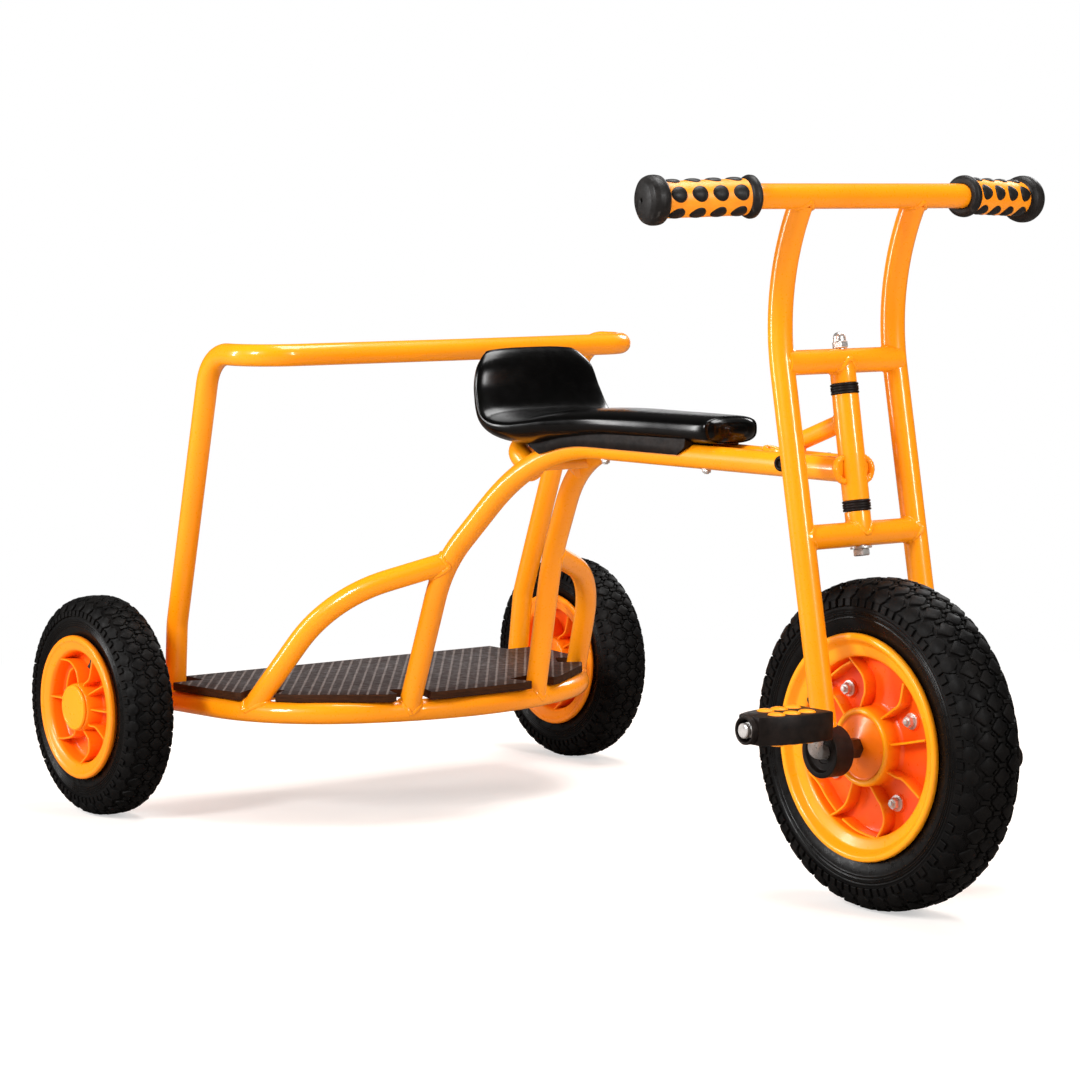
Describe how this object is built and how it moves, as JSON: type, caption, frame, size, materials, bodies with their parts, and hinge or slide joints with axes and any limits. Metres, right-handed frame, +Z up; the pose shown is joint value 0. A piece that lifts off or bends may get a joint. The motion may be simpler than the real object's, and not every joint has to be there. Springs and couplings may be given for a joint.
{
  "type": "children's tricycle",
  "caption": "Pedal tricycle for young children: steered front wheel with bent-rod cranks, bent tube frame, low moulded seat, rear standing board and push hoop.",
  "frame": {"origin": "centre of the bounding box in plan, on the floor the three tyres stand on", "axes": "+X forward (riding direction), +Y the tricycle's own left side, +Z up"},
  "size_m": [1.2074, 0.7358, 0.7017],
  "materials": {
    "frame_paint": "glossy powder coat, yellow-orange",
    "rim_plastic": "glossy moulded orange plastic",
    "orange_plastic": "satin moulded orange plastic",
    "seat_plastic": "glossy moulded black plastic",
    "black_plastic": "fine matt black moulding",
    "black_rubber": "matt black soft rubber",
    "tyre": "matt black tyre rubber with moulded tread",
    "zinc_steel": "bright zinc plated steel",
    "board": "film-faced plywood with a fine mesh pattern"
  },
  "bodies": {
    "frame": {"base_ring": "frame_paint", "rear_axle": "frame_paint", "hoop_rail": "frame_paint", "head_tube": "frame_paint", "gusset_tube": "frame_paint", "seat_cross_tube": "frame_paint", "seat_bow": "frame_paint", "platform_board": "board", "board_strap": "frame_paint", "seat_shell": "seat_plastic", "seat_base": "seat_plastic", "main_tube_right": "frame_paint", "main_tube_left": "frame_paint", "brace_right": "frame_paint", "brace_left": "frame_paint", "hoop_post_right": "frame_paint", "hoop_post_left": "frame_paint", "steering_buffer_right": "black_plastic", "steering_buffer_left": "black_plastic", "seat_bolt_front_right": "zinc_steel", "seat_bolt_front_left": "zinc_steel", "seat_bolt_rear_right": "zinc_steel", "seat_bolt_rear_left": "zinc_steel", "head_bush_lower": "black_plastic", "head_bush_upper": "black_plastic"},
    "fork": {"fork_bush_lower": "black_plastic", "fork_bush_upper": "black_plastic", "fork_cross_lower": "frame_paint", "fork_cross_upper": "frame_paint", "handlebar": "frame_paint", "steering_bolt": "zinc_steel", "dome_nut": "zinc_steel", "lock_nut": "zinc_steel", "fork_leg_right": "frame_paint", "fork_leg_left": "frame_paint", "axle_housing_right": "black_plastic", "axle_housing_left": "black_plastic", "grip_right": "black_rubber", "grip_left": "black_rubber", "grip_sleeve_right": "orange_plastic", "grip_sleeve_left": "orange_plastic"},
    "front_wheel": {"front_tyre": "tyre", "front_rim": "rim_plastic", "front_valve": "black_rubber", "crank_axle": "zinc_steel", "pedal_nut_right": "zinc_steel", "pedal_nut_left": "zinc_steel"},
    "pedal_right_body": {"pedal_right": "black_plastic", "pedal_tread_right": "orange_plastic"},
    "pedal_left_body": {"pedal_left": "black_plastic", "pedal_tread_left": "orange_plastic"},
    "rear_wheel_right": {"rear_tyre_right": "tyre", "rear_rim_right": "rim_plastic", "hub_cap_right": "rim_plastic"},
    "rear_wheel_left": {"rear_tyre_left": "tyre", "rear_rim_left": "rim_plastic", "hub_cap_left": "rim_plastic"}
  },
  "joints": [
    {"name": "steering", "type": "hinge", "parent": "frame", "child": "fork", "pos_m": [0.40675, 0, 0.3594], "axis": [-0.1599, 0, 0.9871], "range_deg": [-45, 45]},
    {"name": "front_wheel_spin", "type": "hinge", "parent": "fork", "child": "front_wheel", "pos_m": [0.44375, 0, 0.16], "axis": [0, 1, 0], "continuous": true},
    {"name": "pedal_right_spin", "type": "hinge", "parent": "front_wheel", "child": "pedal_right_body", "pos_m": [0.46903, -0.153, 0.19479], "axis": [0, 1, 0], "continuous": true},
    {"name": "pedal_left_spin", "type": "hinge", "parent": "front_wheel", "child": "pedal_left_body", "pos_m": [0.41847, 0.153, 0.12521], "axis": [0, 1, 0], "continuous": true},
    {"name": "rear_wheel_right_spin", "type": "hinge", "parent": "frame", "child": "rear_wheel_right", "pos_m": [-0.48125, -0.33, 0.1225], "axis": [0, 1, 0], "continuous": true},
    {"name": "rear_wheel_left_spin", "type": "hinge", "parent": "frame", "child": "rear_wheel_left", "pos_m": [-0.48125, 0.33, 0.1225], "axis": [0, 1, 0], "continuous": true}
  ]
}
